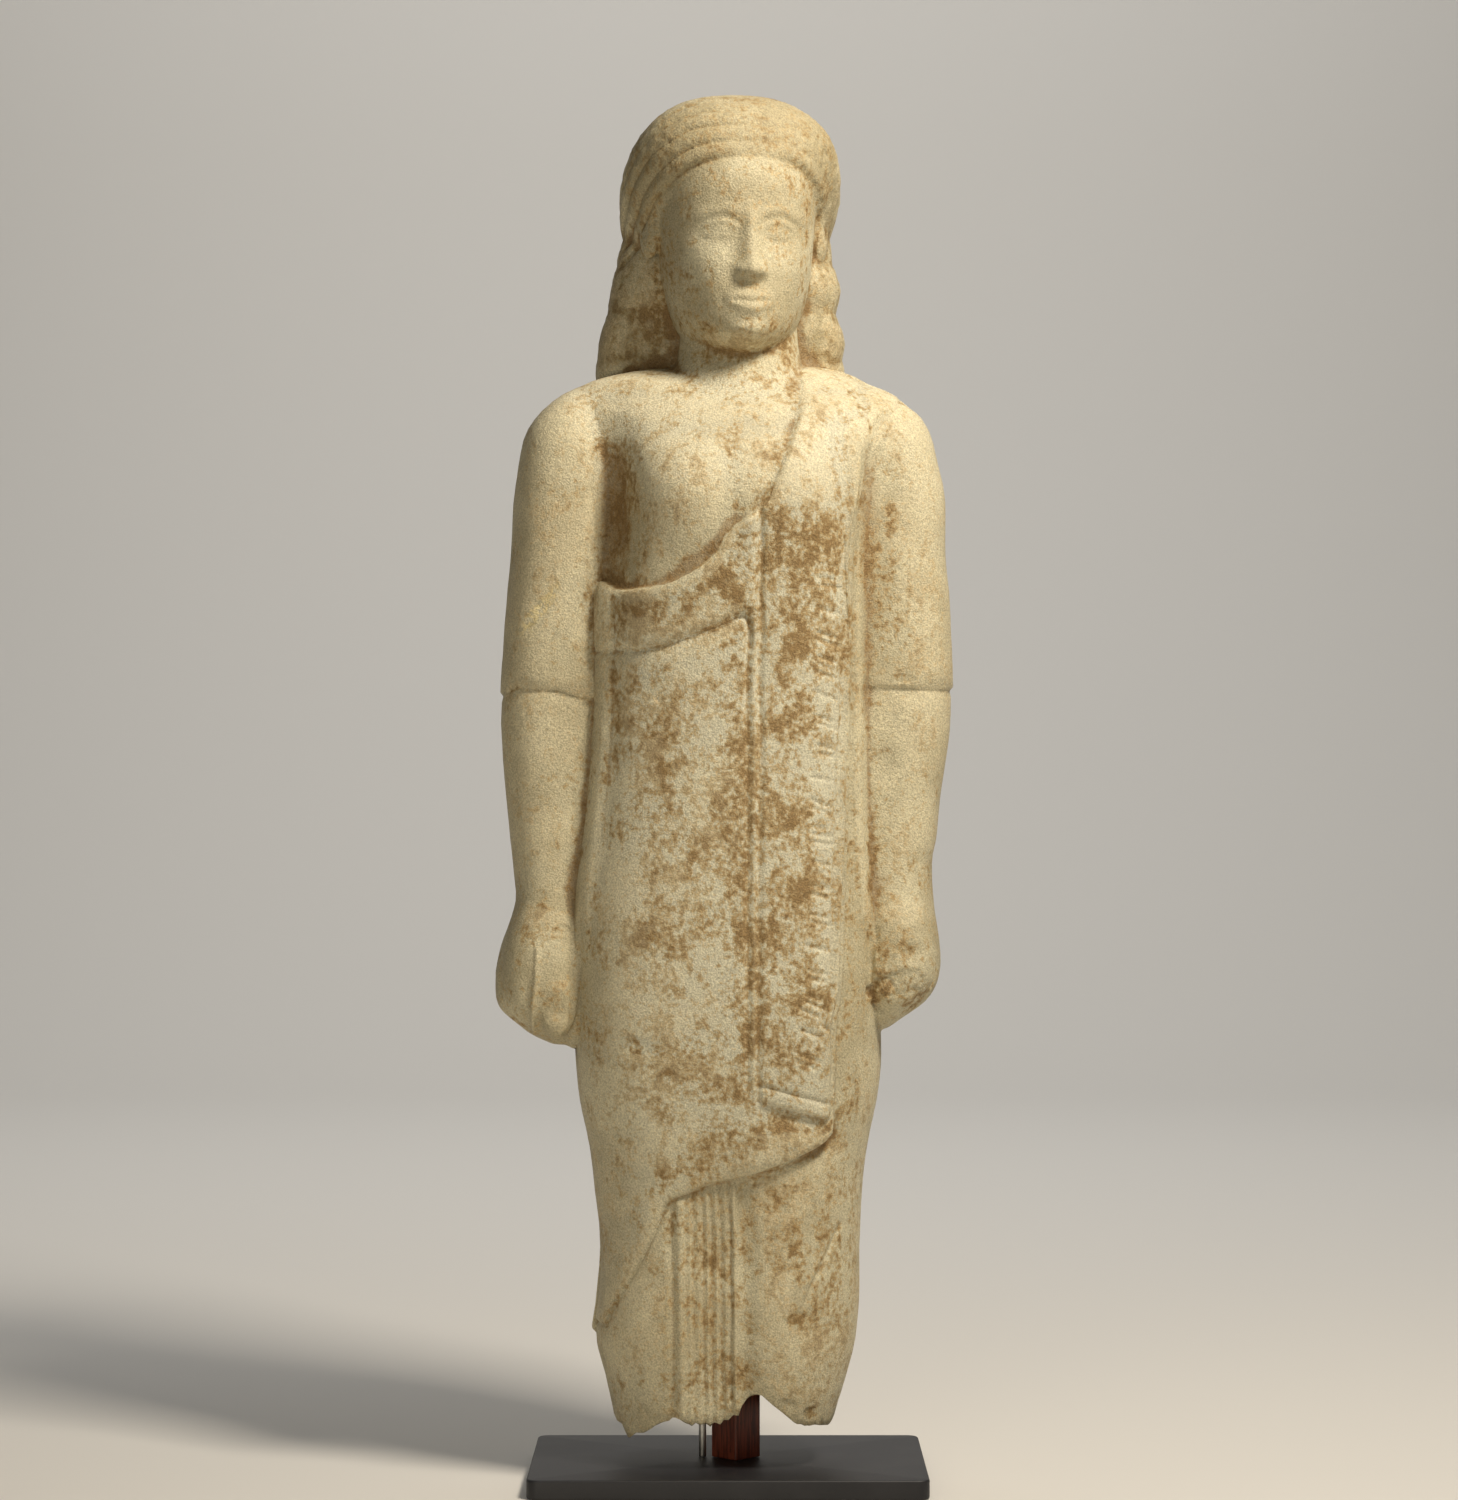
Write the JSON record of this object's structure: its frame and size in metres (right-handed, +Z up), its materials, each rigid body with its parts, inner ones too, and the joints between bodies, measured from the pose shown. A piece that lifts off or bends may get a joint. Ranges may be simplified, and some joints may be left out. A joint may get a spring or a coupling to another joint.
{
  "type": "draped kouros statuette on a display mount",
  "caption": "Broken marble statuette of a standing youth in tunic and mantle with long hair and fists at the thighs, carried by a rod and a post on a low foot.",
  "frame": {"origin": "centre of the foot's underside", "axes": "+Z up, the figure faces -Y, and +X is the figure's left side, on the viewer's right"},
  "size_m": [0.2334, 0.1366, 0.7045],
  "materials": {
    "marble": "weathered carved marble, matt, with brown stains",
    "steel": "drawn rod, satin",
    "wood": "red-brown stain, satin",
    "foot": "black paint, fine matt texture"
  },
  "bodies": {
    "root": {"marble_figure": "marble", "support_rod": "steel", "support_post": "wood", "mount_foot": "foot"}
  },
  "joints": []
}
